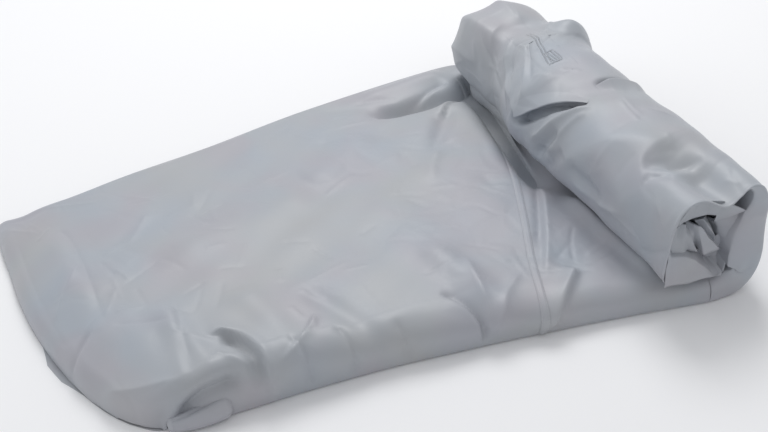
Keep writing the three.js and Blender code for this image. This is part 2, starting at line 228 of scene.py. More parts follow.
def folds_at(u, v, folds):
    """The height that folds add at points of the cloth. A fold is a kind, a half width, a height, and three
    points of its line. A soft fold is a bell curve of the distance to the line. A crisp one falls off
    exponentially, with a small round crest. A tuck does so on the line's left and drops at once on its
    right, as a lap does. All of them fade out over the ends of the line."""
    height = np.zeros(u.shape)
    for kind, wide, rise, *points in folds:
        line = bend_line(points)
        reach = wide * {"soft": 1.7, "crisp": 4, "tuck": 4}[kind]
        low, high = line.min(0) - reach, line.max(0) + reach
        near = (u > low[0]) & (u < high[0]) & (v > low[1]) & (v < high[1])
        if not near.any():
            continue
        p = np.stack([u[near], v[near]], -1)
        best = np.full(len(p), np.inf)
        along = np.zeros(len(p))
        side = np.zeros(len(p))
        for k, (a, b) in enumerate(zip(line[:-1], line[1:])):
            step = b - a
            t = np.clip((p - a) @ step / (step @ step), 0, 1)
            off = p - a - t[:, None] * step
            away = np.hypot(off[:, 0], off[:, 1])
            closer = away < best
            best = np.where(closer, away, best)
            along = np.where(closer, (k + t) / (len(line) - 1), along)
            side = np.where(closer, step[0] * (p[:, 1] - a[1]) - step[1] * (p[:, 0] - a[0]), side)
        fade = smooth(along / 0.22) * smooth((1 - along) / 0.22)
        if kind == "soft":
            shape = np.exp(-2 * (best / wide) ** 2)
        else:
            shape = np.exp(-1.5 * (np.hypot(best, 0.15 * wide) / wide - 0.15))
            if kind == "tuck":
                shape = np.where(side > 0, shape, np.exp(-((best / (0.22 * wide)) ** 2)))
        height[near] += rise * shape * fade
    return height


def crinkles(seed, count, area, long, wide, rise):
    """Small creases at random places in an area, each a crisp fold along a short, slightly bent line."""
    random = np.random.default_rng(seed)
    made = []
    for _ in range(count):
        x, y = random.uniform(area[0], area[1]), random.uniform(area[2], area[3])
        angle, length = random.uniform(0, np.pi), random.uniform(0.4, 1) * long
        dx, dy = math.cos(angle) * length / 2, math.sin(angle) * length / 2
        bent = random.uniform(-0.12, 0.12)
        size = random.uniform(0.4, 1) * rise * random.choice([-1, 1])
        middle = (x - bent * dy, y + bent * dx)
        made.append(("crisp", random.uniform(0.6, 1.3) * wide, size, x - dx, y - dy, *middle, x + dx, y + dy))
    return made


def swell(u, v, seed, long, rise):
    """A slow unevenness: twice the mean of seven sine waves of random direction and about one length."""
    random = np.random.default_rng(seed)
    total = np.zeros(u.shape)
    for _ in range(7):
        angle, phase = random.uniform(0, np.pi), random.uniform(0, 2 * np.pi)
        turn = 2 * np.pi / (long * random.uniform(0.6, 1.6))
        total += np.sin(turn * (u * math.cos(angle) + v * math.sin(angle)) + phase)
    return rise * total / 7 * 2


def normals(points):
    """The unit normal at each point of a grid: the step to the next row crossed with the one along it."""
    across = np.cross(np.gradient(points, axis=0), np.gradient(points, axis=1))
    return across / np.maximum(np.linalg.norm(across, axis=-1, keepdims=True), 1e-12)


def arc(points):
    """How far each point of a grid is along its row of columns, by distance."""
    steps = np.linalg.norm(np.diff(points, axis=1), axis=-1)
    return np.concatenate([np.zeros((len(points), 1)), np.cumsum(steps, 1)], 1)


def make_piece(name, grids):
    """A mesh of one or more grids of points, four-sided faces facing as rows cross columns, with a map
    called weave that holds how far along and across the cloth each point is, in metres."""
    corners, faces, lay = [], [], []
    first = 0
    for points in grids:
        rows, columns = points.shape[:2]
        i = np.arange(rows * columns).reshape(rows, columns) + first
        faces.append(np.stack([i[:-1, :-1], i[1:, :-1], i[1:, 1:], i[:-1, 1:]], -1).reshape(-1, 4))
        corners.append(points.reshape(-1, 3))
        along = arc(points.transpose(1, 0, 2)).T
        lay.append(np.stack([along, arc(points)], -1).reshape(-1, 2))
        first += rows * columns
    corners, faces, lay = np.concatenate(corners) - MIDDLE, np.concatenate(faces), np.concatenate(lay)
    mesh = bpy.data.meshes.new(name)
    mesh.vertices.add(len(corners))
    mesh.vertices.foreach_set("co", corners.astype(np.float32).ravel())
    mesh.loops.add(faces.size)
    mesh.loops.foreach_set("vertex_index", faces.astype(np.int32).ravel())
    mesh.polygons.add(len(faces))
    mesh.polygons.foreach_set("loop_start", np.arange(0, faces.size, 4, dtype=np.int32))
    mesh.polygons.foreach_set("use_smooth", np.ones(len(faces), bool))
    mesh.update(calc_edges=True)
    mesh.uv_layers.new(name="weave").data.foreach_set("uv", lay[faces.ravel()].astype(np.float32).ravel())
    mesh.validate()
    piece = bpy.data.objects.new(name, mesh)
    bpy.context.scene.collection.objects.link(piece)
    return piece


class Value:
    """A socket's value in a material. Arithmetic on it adds Math nodes, and node() adds any other node."""

    def __init__(self, tree, socket=None):
        self.tree = tree
        self.socket = socket

    def node(self, kind, settings, inputs, output=0):
        made = self.tree.nodes.new("ShaderNode" + kind)
        for name, value in settings.items():
            setattr(made, name, value)
        for name, value in inputs.items():
            if isinstance(value, Value):
                self.tree.links.new(value.socket, made.inputs[name])
            else:
                made.inputs[name].default_value = value
        return Value(self.tree, made.outputs[output])

    def math(self, operation, *values):
        return self.node("Math", {"operation": operation}, dict(enumerate(values)))

    def __add__(self, other):
        return self.math("ADD", self, other)

    __radd__ = __add__

    def __mul__(self, other):
        return self.math("MULTIPLY", self, other)

    __rmul__ = __mul__


YARN_PITCH = 0.0011
NEUTRAL, BLUISH, MAUVE = (0.405, 0.415, 0.43, 1), (0.375, 0.41, 0.46, 1), (0.41, 0.385, 0.425, 1)


def coated_cloth(name):
    """Woven polyester with a satin coating: a plain weave of fine yarns, faint crumple lines, a soft sheen,
    and a slow drift of colour between a neutral, a bluish and a mauve grey."""
    finish = bpy.data.materials.new(name)
    finish.use_nodes = True
    tree = finish.node_tree
    shader = tree.nodes["Principled BSDF"]
    start = Value(tree)
    place = start.node("TexCoord", {}, {}, "Object")
    lay = start.node("UVMap", {"uv_map": "weave"}, {})
    drift = start.node("TexNoise", {}, {"Vector": place, "Scale": 5.5, "Detail": 2, "Roughness": 0.5})
    warm = start.node(
        "TexNoise", {}, {"Vector": place, "Scale": 9, "Detail": 1, "Roughness": 0.5, "Distortion": 0.4}
    )
    drift = start.node("MapRange", {}, {"Value": drift, "From Min": 0.32, "From Max": 0.68})
    warm = start.node("MapRange", {}, {"Value": warm, "From Min": 0.45, "From Max": 0.7})
    colour = start.node("Mix", {"data_type": "RGBA"}, {0: drift, 6: NEUTRAL, 7: BLUISH}, 2)
    colour = start.node("Mix", {"data_type": "RGBA"}, {0: warm * 0.5, 6: colour, 7: MAUVE}, 2)
    tree.links.new(colour.socket, shader.inputs["Base Color"])
    both = start.node("SeparateXYZ", {}, {0: lay})
    across = Value(tree, both.socket.node.outputs[1])
    yarn = 2 * math.pi / YARN_PITCH
    weave = (both * yarn).math("SINE", both * yarn) * (across * yarn).math("SINE", across * yarn)
    grain = start.node("TexNoise", {}, {"Vector": place, "Scale": 260, "Detail": 2, "Roughness": 0.6})
    shift = start.node("TexNoise", {}, {"Vector": place, "Scale": 14, "Detail": 1, "Roughness": 0.5}, 1)
    moved = start.node(
        "VectorMath", {"operation": "MULTIPLY_ADD"}, {0: shift, 1: (0.05, 0.05, 0.05), 2: place}
    )
    cells = start.node(
        "TexVoronoi", {"feature": "DISTANCE_TO_EDGE"}, {"Vector": moved, "Scale": 17, "Randomness": 1}
    )
    crumple = start.node("MapRange", {"interpolation_type": "SMOOTHSTEP"}, {"Value": cells, "From Max": 0.22})
    patches = start.node("TexNoise", {}, {"Vector": place, "Scale": 6, "Detail": 1})
    patches = start.node("MapRange", {}, {"Value": patches, "From Min": 0.45, "From Max": 0.62})
    relief = crumple * patches * 0.00050 + weave * 0.000012 + grain * 0.00005
    bump = start.node("Bump", {}, {"Height": relief, "Strength": 1, "Distance": 1})
    tree.links.new(bump.socket, shader.inputs["Normal"])
    tree.links.new((grain * 0.12 + drift * 0.05 + 0.38).socket, shader.inputs["Roughness"])
    shader.inputs["Sheen Weight"].default_value = 0.12
    shader.inputs["Sheen Roughness"].default_value = 0.4
    shader.inputs["Coat Weight"].default_value = 0.10
    shader.inputs["Coat Roughness"].default_value = 0.45
    return finish


grey_cloth = coated_cloth("coated_cloth")

# The folds of the laid strip: kind, half width, height, and three points of the line, in metres. On the
# near side the second number runs on down the cloth, past the edge of the top.
LAID_FOLDS = [
    ("soft", 0.026, 0.007, -0.385, -0.070, -0.374, -0.170, -0.362, -0.290),
    ("soft", 0.034, 0.005, -0.272, -0.090, -0.262, -0.180, -0.252, -0.290),
    ("soft", 0.030, 0.005, -0.455, 0.200, -0.470, 0.020, -0.474, -0.150),
    ("soft", 0.060, 0.006, -0.360, 0.010, -0.200, 0.060, -0.060, 0.095),
    ("soft", 0.026, -0.006, -0.195, -0.120, -0.165, -0.210, -0.135, -0.310),
    ("soft", 0.034, 0.009, 0.006, -0.100, 0.022, -0.210, 0.048, -0.330),
    ("soft", 0.023, -0.024, 0.100, 0.268, 0.210, 0.262, 0.320, 0.262),
    ("soft", 0.026, 0.007, 0.110, 0.322, 0.205, 0.328, 0.300, 0.332),
    ("soft", 0.022, -0.007, 0.240, 0.235, 0.191, 0.166, 0.140, 0.095),
    ("soft", 0.050, 0.006, 0.080, 0.215, 0.000, 0.160, -0.080, 0.105),
    # the left end
    ("crisp", 0.008, 0.0022, -0.512, -0.020, -0.480, 0.024, -0.440, 0.080),
    ("crisp", 0.010, 0.0024, -0.310, 0.165, -0.340, 0.125, -0.372, 0.085),
    ("crisp", 0.007, -0.0016, -0.450, 0.175, -0.440, 0.110, -0.460, -0.110),
    ("crisp", 0.006, 0.0014, -0.420, -0.010, -0.436, -0.040, -0.456, -0.070),
    ("crisp", 0.012, -0.0030, -0.500, 0.215, -0.515, 0.060, -0.508, -0.130),
    # the near left corner: a ridge pair, and the swoosh whose lobe hangs over the side
    ("soft", 0.014, 0.0030, -0.380, -0.110, -0.396, -0.185, -0.408, -0.262),
    ("crisp", 0.006, -0.0018, -0.358, -0.075, -0.374, -0.150, -0.386, -0.225),
    ("tuck", 0.016, 0.0100, -0.352, -0.176, -0.306, -0.204, -0.302, -0.310),
    ("soft", 0.016, -0.0120, -0.338, -0.184, -0.311, -0.220, -0.316, -0.300),
    ("crisp", 0.012, 0.0050, -0.360, -0.214, -0.338, -0.236, -0.318, -0.258),
    ("soft", 0.024, -0.0200, -0.425, -0.292, -0.385, -0.277, -0.322, -0.264),
    ("crisp", 0.010, 0.0040, -0.502, -0.165, -0.455, -0.208, -0.400, -0.243),
    ("soft", 0.018, -0.0050, -0.515, -0.190, -0.470, -0.236, -0.420, -0.272),
    ("crisp", 0.008, -0.0050, -0.470, -0.078, -0.505, -0.098, -0.535, -0.120),
    ("crisp", 0.010, 0.0040, -0.300, -0.350, -0.296, -0.310, -0.290, -0.275),
    # the near side, from left to right
    ("tuck", 0.010, 0.0055, -0.200, -0.190, -0.236, -0.232, -0.282, -0.262),
    ("crisp", 0.008, -0.0045, -0.256, -0.222, -0.246, -0.262, -0.238, -0.330),
    ("crisp", 0.008, -0.0045, -0.192, -0.225, -0.182, -0.268, -0.178, -0.335),
    ("crisp", 0.006, 0.0014, -0.198, -0.130, -0.188, -0.150, -0.172, -0.170),
    ("crisp", 0.009, -0.0036, -0.112, -0.246, -0.106, -0.290, -0.104, -0.345),
    ("tuck", 0.014, -0.0090, -0.032, -0.225, -0.004, -0.268, 0.006, -0.345),
    ("crisp", 0.010, 0.0050, 0.046, -0.165, 0.024, -0.240, 0.010, -0.335),
    ("crisp", 0.010, 0.0045, 0.104, -0.225, 0.050, -0.270, 0.012, -0.330),
    # right of the seam: the knot with its V, and narrow folds under the roll
    ("tuck", 0.030, 0.0110, 0.078, -0.345, 0.141, -0.283, 0.180, -0.246),
    ("crisp", 0.004, -0.0016, 0.237, -0.155, 0.208, -0.190, 0.180, -0.245),
    ("tuck", 0.020, 0.0060, 0.265, -0.010, 0.200, -0.135, 0.118, -0.262),
    ("soft", 0.010, -0.0040, 0.245, -0.035, 0.200, -0.115, 0.152, -0.190),
    # the throat along the foot of the roll
    ("soft", 0.031, -0.0370, 0.324, 0.330, 0.286, 0.135, 0.246, -0.082),
    ("soft", 0.020, 0.0130, 0.268, -0.070, 0.271, -0.190, 0.277, -0.340),
    # the far edge, from the thin crease to the throat under the roll
    ("crisp", 0.007, -0.0024, 0.100, 0.315, 0.140, 0.306, 0.185, 0.284),
    ("tuck", 0.012, -0.0060, 0.185, 0.268, 0.240, 0.292, 0.275, 0.300),
    ("tuck", 0.012, 0.0065, 0.205, 0.190, 0.242, 0.240, 0.300, 0.256),
    ("crisp", 0.012, 0.0036, 0.214, 0.160, 0.140, 0.096, 0.096, 0.020),
    ("soft", 0.020, -0.0030, 0.040, 0.322, 0.130, 0.286, 0.225, 0.240),
]
LAID_CRINKLES = crinkles(11, 90, (-0.50, 0.26, -0.27, 0.30), 0.09, 0.005, 0.0013)
FADE_HEIGHT = 0.022  # below this the folds fade out
FADE_SHARE = 0.02  # of the top, at its far edge


def laid_skin(place, counts, ahead=None):
    """The skin of the laid strip at places along it, with its folds pushed out along its normals. Folds are
    placed by X and by Y, which runs on down the near side by distance. They fade out towards the floor."""
    point, height, wide = laid_line(place)
    line = (point, height, wide) if ahead is None else (lambda a, up: point(a, up) + ahead(a), height, wide)
    points, starts = bundle(line, counts, reach=rows_at(SHOULDER_ROWS, place, straight=True)[0])
    side, top = starts[1], starts[2]
    down = arc(points[:, side : top + 1])
    u, v = points[..., 0].copy(), points[..., 1].copy()
    v[:, side : top + 1] = points[:, top, 1, None] - (down[:, -1:] - down)
    lift = folds_at(u, v, LAID_FOLDS) + folds_at(u, v, LAID_CRINKLES) + swell(u, v, 3, 0.11, 0.0016)
    shown = np.zeros(u.shape)
    shown[:, side : starts[3]] = smooth(points[:, side : starts[3], 2] / FADE_HEIGHT)
    column = np.arange(u.shape[1])
    ends = smooth((1 - (column - top) / (starts[3] - top)) / FADE_SHARE)
    shown *= np.where(column >= top, ends, 1)
    return points + normals(points) * (lift * shown)[..., None], starts


LAID_COLUMNS = (26, 34, 216, 8, 10)

# The top layer falls over the end: rows close together there turn down as a quarter circle. Towards the end
# the strip sinks a little.
FALL_PLACE = 0.42  # where the fall begins
FALL_ROWS, STRIP_ROWS = 16, 215
FALLEN = 0.10  # the height that is left at the very end, as a share
SUNK, SUNK_PLACE = 0.72, 1.7  # the share left by the sinking, and where it begins
fall = np.linspace(0, np.pi / 2, FALL_ROWS)
beyond = np.linspace(FALL_PLACE, SEAM_PLACE, STRIP_ROWS + 1)[1:]
places = np.concatenate([FALL_PLACE * (1 - np.cos(fall)), beyond])[:, None]
drop = np.concatenate([np.sin(fall), np.ones(STRIP_ROWS)])[:, None]
end_skin, starts = laid_skin(places, LAID_COLUMNS)
end_skin[..., 2] *= mix(FALLEN, 1, drop) * mix(SUNK, 1, smooth(places / SUNK_PLACE))

# The under layer peeks out beyond it along one stretch, by shares across from the near side.
PEEK_SHARES = (0, 0.22, 0.27, 0.36, 0.43, 1)
PEEK_LENGTHS = (0, 0, 0.009, 0.010, 0, 0)
peeks = np.zeros(end_skin.shape[1])
peeks[: starts[1]] = np.interp(np.linspace(1, 0, starts[1]), PEEK_SHARES, PEEK_LENGTHS)
end_skin[..., 0] -= peeks * (1 - drop) ** 2

# The far left corner is pulled out a little.
FAR_CORNER = (-0.512, 0.264)
CORNER_REACH = 0.13
CORNER_PULL = (-0.006, 0.018, 0)
away = np.hypot(end_skin[..., 0] - FAR_CORNER[0], end_skin[..., 1] - FAR_CORNER[1])
far_corner = smooth(1 - places) * smooth(1 - away / CORNER_REACH)
end_skin += far_corner[..., None] * CORNER_PULL

# At the near left corner a small bead of the under layer is pushed out from under the side. It tapers at
# both ends and has one crease that winds along it.
BEAD_LINE = (-0.436, -0.251, -0.394, -0.257, -0.350, -0.253)
BEAD_HEIGHTS = (0.010, 0.017)
BEAD_RADIUS = 0.017
BEAD_TAPER = ((0, 0.05, 0.5, 0.9, 0.97, 1), (0.2, 0.6, 0.85, 1, 0.8, 0.3))
BEAD_FLOOR = 0.0009
bead_line = bend_line(BEAD_LINE, 60)
bead_line = np.concatenate([bead_line, np.linspace(*BEAD_HEIGHTS, 60)[:, None]], 1)[:, None]
k = np.linspace(0, 1, 60)[:, None]
turn = np.linspace(np.pi, -np.pi, 33)[None]
crease = 1 - 0.22 * np.exp(-(((turn - 1.9 + 0.8 * k) / 0.22) ** 2))
girth = BEAD_RADIUS * np.interp(k, *BEAD_TAPER) * crease
bead = bead_line + np.stack([0 * girth, girth * np.cos(turn), girth * np.sin(turn)], -1)
bead[..., 2] = np.maximum(bead[..., 2], BEAD_FLOOR)

end_cloth = make_piece("end_cloth", [end_skin, bead])
end_cloth.data.materials.append(grey_cloth)
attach(end_cloth, "root")
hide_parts("end_panel")

# The long panel: the rest of the cover, laid on from the seam and wound up from its far end into a loose
# roll. Its under layer lies outside, and its folded edge shows as flat wraps round the roll's near end.

# The roll's outline, by the share of its length from the near end: the x of its middle, half its width, half its
# height, and how square it is.
ROLL_ROWS = [
    (0, 0.339, 0.087, 0.097, 3.4),
    (0.12, 0.347, 0.092, 0.096, 3),
    (0.3, 0.352, 0.097, 0.096, 2.6),
    (0.46, 0.352, 0.097, 0.095, 2.5),
    (0.62, 0.357, 0.098, 0.095, 2.5),
    (0.68, 0.364, 0.095, 0.091, 2.5),
    (0.73, 0.371, 0.086, 0.083, 2.6),
    (0.85, 0.376, 0.084, 0.083, 2.7),
    (0.95, 0.378, 0.085, 0.084, 2.7),
    (1, 0.376, 0.078, 0.079, 2.5),
]
# How the bundle winds in, by turns from the floor, in shares: width, height, how far aside and how far up.
WINDING_ROWS = [
    (0, 1, 1, 0, 0),
    (0.7, 1, 1, 0, 0),
    (0.85, 1, 0.64, -0.03, 0.12),
    (1, 0.62, 0.6, -0.2, 0.13),
    (1.12, 0.60, 0.62, -0.2, 0.13),
    (1.25, 0.50, 0.50, -0.2, 0.13),
    (1.36, 0.54, 0.40, -0.2, 0.13),
    (1.5, 0.48, 0.37, -0.2, 0.13),
    (1.62, 0.44, 0.40, -0.2, 0.13),
    (1.75, 0.45, 0.38, -0.2, 0.13),
    (1.87, 0.42, 0.36, -0.2, 0.13),
    (2, 0.36, 0.30, -0.2, 0.13),
    (2.25, 0.27, 0.26, -0.2, 0.13),
    (2.7, 0.2, 0.17, -0.2, 0.13),
]
# The wound bundle by turns: its thickness at its near and far end, and where those ends lie. At the near
# end the folded edge is wide and flat at the right of the roll, low at its left, and a thin lip over its top.
WOUND_ROWS = [
    (0, 0.040, 0.030, -0.354, 0.322),
    (0.06, 0.046, 0.028, -0.355, 0.325),
    (0.12, 0.058, 0.025, -0.354, 0.328),
    (0.2, 0.062, 0.021, -0.352, 0.330),
    (0.27, 0.056, 0.018, -0.350, 0.332),
    (0.34, 0.042, 0.015, -0.349, 0.332),
    (0.39, 0.022, 0.014, -0.350, 0.331),
    (0.43, 0.004, 0.013, -0.350, 0.330),
    (0.76, 0.004, 0.012, -0.352, 0.326),
    (0.87, 0.006, 0.012, -0.348, 0.324),
    (1.02, 0.008, 0.013, -0.338, 0.322),
    (1.13, 0.010, 0.012, -0.312, 0.320),
    (1.6, 0.010, 0.011, -0.302, 0.314),
    (2.7, 0.010, 0.009, -0.290, 0.308),
]
ROLL_RADIUS = 0.097
ROUND = 2 * math.pi * ROLL_RADIUS  # the way round the roll
ROLL_SLIT = 0.003  # the gap between the two layers in the roll
WRAP_EDGE = 0.005  # how far the wraps' near ends are rounded
SQUARED = 0.07  # turns over which the strip's rounding becomes the wraps'
FOLDS_IN = (0.03, 0.1)  # the turn where the folds begin, and the turns they take to come in
FOLDS_OUT = (1.06, 0.12)  # and where they end
THIN, THINNER = 0.030, 0.015  # thicknesses between which a near end comes to follow the outside
INNER_DEPTH = 0.015  # how much further in the inner sheet lies
INNER_DIP = 0.045  # and how far at most it follows the folds
INNER_ENDS = 0.05  # over which it comes out again, at either end
RIM_WIDE, RIM_DEEP = 0.016, 0.011  # how the roll's far edge is turned in
# Folds on the roll: as on the strip, by turns and by Y, which runs on down the near end by distance.
ROLL_FOLDS = [
    ("soft", 0.040, 0.022, 0.20, 0.240, 0.33, 0.200, 0.46, 0.165),
    ("soft", 0.050, 0.016, 0.14, 0.176, 0.38, 0.160, 0.66, 0.156),
    ("soft", 0.022, 0.006, 0.42, 0.141, 0.52, 0.139, 0.63, 0.136),
    ("crisp", 0.030, 0.0120, 0.600, 0.200, 0.612, 0.310, 0.620, 0.430),
    ("crisp", 0.030, 0.0080, 0.500, 0.220, 0.490, 0.310, 0.480, 0.430),
    ("crisp", 0.020, 0.0060, 0.700, 0.230, 0.705, 0.310, 0.710, 0.420),
    ("soft", 0.024, 0.006, 0.54, 0.035, 0.67, 0.051, 0.82, 0.066),
    ("soft", 0.034, -0.006, 0.40, -0.070, 0.51, -0.040, 0.64, -0.010),
    ("soft", 0.034, 0.005, 0.50, -0.220, 0.62, -0.155, 0.76, -0.090),
    ("soft", 0.024, -0.005, 0.60, 0.215, 0.71, 0.190, 0.84, 0.165),
    # pleats of the far part
    ("crisp", 0.006, 0.0044, 0.55, 0.200, 0.64, 0.158, 0.70, 0.070),
    ("crisp", 0.005, -0.0026, 0.56, 0.178, 0.63, 0.140, 0.67, 0.080),
    ("crisp", 0.005, 0.0030, 0.57, 0.135, 0.615, 0.090, 0.67, 0.040),
    ("crisp", 0.005, -0.0030, 0.55, 0.150, 0.585, 0.105, 0.63, 0.045),
    ("crisp", 0.006, 0.0026, 0.55, 0.246, 0.62, 0.220, 0.68, 0.180),
    ("crisp", 0.006, -0.0024, 0.60, 0.262, 0.65, 0.215, 0.71, 0.135),
    ("crisp", 0.005, 0.0022, 0.63, 0.130, 0.68, 0.085, 0.72, 0.050),
    ("tuck", 0.008, -0.0050, 0.66, 0.140, 0.72, 0.095, 0.78, 0.062),
    ("crisp", 0.009, 0.0040, 0.50, 0.150, 0.455, 0.190, 0.40, 0.225),
    # the collar: a dark parting, the lip under it and the corner folded beneath
    ("crisp", 0.010, 0.0080, 0.560, -0.074, 0.655, -0.040, 0.760, 0.010),
    ("soft", 0.013, -0.0080, 0.66, -0.056, 0.72, -0.036, 0.80, -0.010),
    ("crisp", 0.008, 0.0040, 0.58, -0.080, 0.66, -0.064, 0.745, -0.048),
    ("soft", 0.014, -0.0050, 0.70, -0.082, 0.74, -0.066, 0.80, -0.044),
    # the near part
    ("soft", 0.020, -0.0070, 0.72, -0.095, 0.735, -0.145, 0.745, -0.195),
    ("crisp", 0.011, 0.0050, 0.76, -0.110, 0.755, -0.180, 0.72, -0.250),
    ("soft", 0.020, -0.0060, 0.60, -0.225, 0.55, -0.245, 0.46, -0.262),
    ("crisp", 0.009, -0.0030, 0.61, -0.245, 0.595, -0.262, 0.57, -0.285),
    ("crisp", 0.009, -0.0030, 0.630, -0.250, 0.600, -0.261, 0.560, -0.268),
    ("crisp", 0.010, -0.0030, 0.560, -0.246, 0.510, -0.253, 0.455, -0.262),
    ("soft", 0.050, -0.0130, 0.535, -0.205, 0.505, -0.295, 0.475, -0.460),
    ("soft", 0.042, -0.0140, 0.515, -0.265, 0.492, -0.345, 0.470, -0.480),
    ("crisp", 0.007, -0.0030, 0.79, -0.285, 0.76, -0.315, 0.70, -0.352),
    ("soft", 0.030, 0.0040, 0.58, -0.090, 0.66, -0.180, 0.72, -0.270),
    # folds on the flat near end of the outer wrap
    ("crisp", 0.008, 0.0030, 0.30, -0.350, 0.31, -0.365, 0.32, -0.385),
    ("tuck", 0.016, 0.0060, 0.150, -0.368, 0.10, -0.393, 0.03, -0.399),
    ("crisp", 0.005, -0.0080, 0.156, -0.364, 0.10, -0.389, 0.02, -0.395),
]
# The partings that open under a fold's edge, cut into the roll after it is laid.
PARTINGS = [
    ("soft", 0.0105, -0.0550, 0.742, 0.058, 0.648, -0.003, 0.563, -0.060),
    ("soft", 0.0090, -0.0130, 0.36, -0.050, 0.43, -0.026, 0.51, -0.024),
]
# The wrap dips a little where the finer cloth round the sewn box lies over it.
UNDER_STRAP = ("soft", 0.026, -0.0040, 0.515, 0.245, 0.535, 0.132, 0.537, 0.020)
ROLL_CRINKLES = crinkles(23, 64, (0.25, 0.53, -0.34, 0.30), 0.08, 0.005, 0.0015)


def roll_line(turn):
    """The wound bundle at turns from the floor, as the strip's line is. The winding line is a rounded
    square about the roll's middle, and thickness goes inwards from it, square to the way it runs."""
    near, far, near_y, far_y = rows_at(WOUND_ROWS, turn, straight=True)

    def winding(turn, across):
        x, a, b, square = rows_at(ROLL_ROWS, np.clip(across, 0, 1))
        wide, tall, aside, lift = rows_at(WINDING_ROWS, turn, straight=True)
        angle = (turn - 0.25) * 2 * np.pi
        c, s = np.cos(angle), np.sin(angle)
        r = (np.abs(c / (a * wide)) ** square + np.abs(s / (b * tall)) ** square) ** (-1 / square)
        return x + a * aside + r * c, b * (1 + lift) + r * s

    def point(across, up):
        x, z = winding(turn, across)
        x0, z0 = winding(np.maximum(turn - 0.01, 0), across)
        x1, z1 = winding(turn + 0.01, across)
        long = np.hypot(x1 - x0, z1 - z0)
        placed = (x - up * (z1 - z0) / long, mix(near_y, far_y, across), z + up * (x1 - x0) / long)
        return np.stack(np.broadcast_arrays(*placed), -1)

    def height(across):
        return mix(near, far, np.clip(across, 0, 1))

    return point, height, far_y - near_y


def roll_skin(turn, counts, partings=()):
    """The skin of the wound bundle, with its folds, which are deepest on its outside and end a little way
    in. The near end follows the outside where it is thin. The sheet inside follows the outside's dips alone
    and lies further in, so that it doesn't show through them. Each wrap's far edge is turned in."""
    square = smooth(turn / SQUARED)
    shoulder, foot = mix(SHOULDER, WRAP_EDGE, square), mix(FOOT, WRAP_EDGE, square)
    points, starts = bundle(roll_line(turn), counts, ROLL_SLIT, shoulder, foot)
    side, top = starts[1], starts[2]
    u = np.broadcast_to(turn * ROUND, points.shape[:2]).copy()
    v = points[..., 1].copy()
    v[:, side - 1 : top] = points[:, side - 1, 1, None] - arc(points[:, side - 1 : top])
    folds = [
        (kind, wide, rise, *(p * ROUND if k % 2 == 0 else p for k, p in enumerate(line)))
        for kind, wide, rise, *line in [*ROLL_FOLDS, *partings]
    ]
    lift = folds_at(u, v, folds) + folds_at(u, v, ROLL_CRINKLES) + swell(u, v, 5, 0.10, 0.0016)
    shown = np.zeros(u.shape)
    shown[:, :top] = smooth((turn - FOLDS_IN[0]) / FOLDS_IN[1]) * smooth((FOLDS_OUT[0] - turn) / FOLDS_OUT[1])
    shown[:, side - 1 : top] *= np.linspace(1, 0, top - side + 1)
    out = normals(points)
    moved = out * (lift * shown)[..., None]

    thin = smooth((THIN - rows_at(WOUND_ROWS, turn, straight=True)[0]) / THINNER)[..., None]
    moved[:, side:top] = mix(moved[:, side:top], moved[:, side - 1 : side], thin)

    far, near, y = points[:, :1, 1], points[:, side - 1 : side, 1], points[:, top:, 1]
    at = np.clip((far - y) / (far - near), 0, 1) * (side - 1)
    j = np.minimum(at.astype(int), side - 2)
    row = np.arange(len(points))[:, None]
    dips = np.clip(lift * shown, -INNER_DIP, 0)
    inwards = mix(dips[row, j], dips[row, j + 1], at - j)
    away = smooth((y - near) / INNER_ENDS) * smooth((far - y) / INNER_ENDS)
    moved[:, top:] = out[row, j] * (inwards - INNER_DEPTH * shown[:, :1] * away)[..., None]

    rim = np.clip((points[..., 1] - far + RIM_WIDE) / RIM_WIDE, 0, 1)
    rim[:, side:] = 0
    drawn = -RIM_DEEP * (1 - np.sqrt(1 - 0.98 * rim**2))
    points = points + moved + out * drawn[..., None]
    inside = points[:, side:, 1]
    points[:, side:, 1] = inside - RIM_WIDE * smooth((inside - points[:, :1, 1] + 0.07) / 0.06)
    return points, starts


def to_roll(a):
    """How far each line before the roll moves along, so that the last one meets the roll's own outline."""
    _, near_x, _, far_x, *_ = LAID_ROWS[-1]
    ahead = np.clip(laid_places - 7, 0, 1)
    along = ahead * (rows_at(ROLL_ROWS, np.clip(a, 0, 1))[0] - mix(near_x, far_x, a))
    return np.stack(np.broadcast_arrays(along, 0 * along, 0 * along), -1)


laid_places = np.linspace(SEAM_PLACE, LAID_ROWS[-1][0], 80)[:, None]
laid_part, _ = laid_skin(laid_places, LAID_COLUMNS, to_roll)
OUTER_TURNS, INNER_TURNS = 1.04, 2.7
outer_turns, outer_columns = np.linspace(0, OUTER_TURNS, 224)[:, None], (206, 34, 20, 6, 6)
outer_part, _ = roll_skin(outer_turns, outer_columns, [*PARTINGS, UNDER_STRAP])
inner_part, _ = roll_skin(np.linspace(OUTER_TURNS, INNER_TURNS, 110)[:, None], (30, 24, 14, 6, 8))

long_cloth = make_piece("long_cloth", [laid_part, outer_part, inner_part])
long_cloth.data.materials.append(grey_cloth)
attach(long_cloth, "root")
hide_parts("long_panel")

# The edges of the wraps that show: two folds that lie over the roll, and the near ends of the inner wraps,
# which fill the roll's near end as flat and pleated faces, one behind the other.
unparted, _ = roll_skin(outer_turns, outer_columns)
outward = normals(unparted)


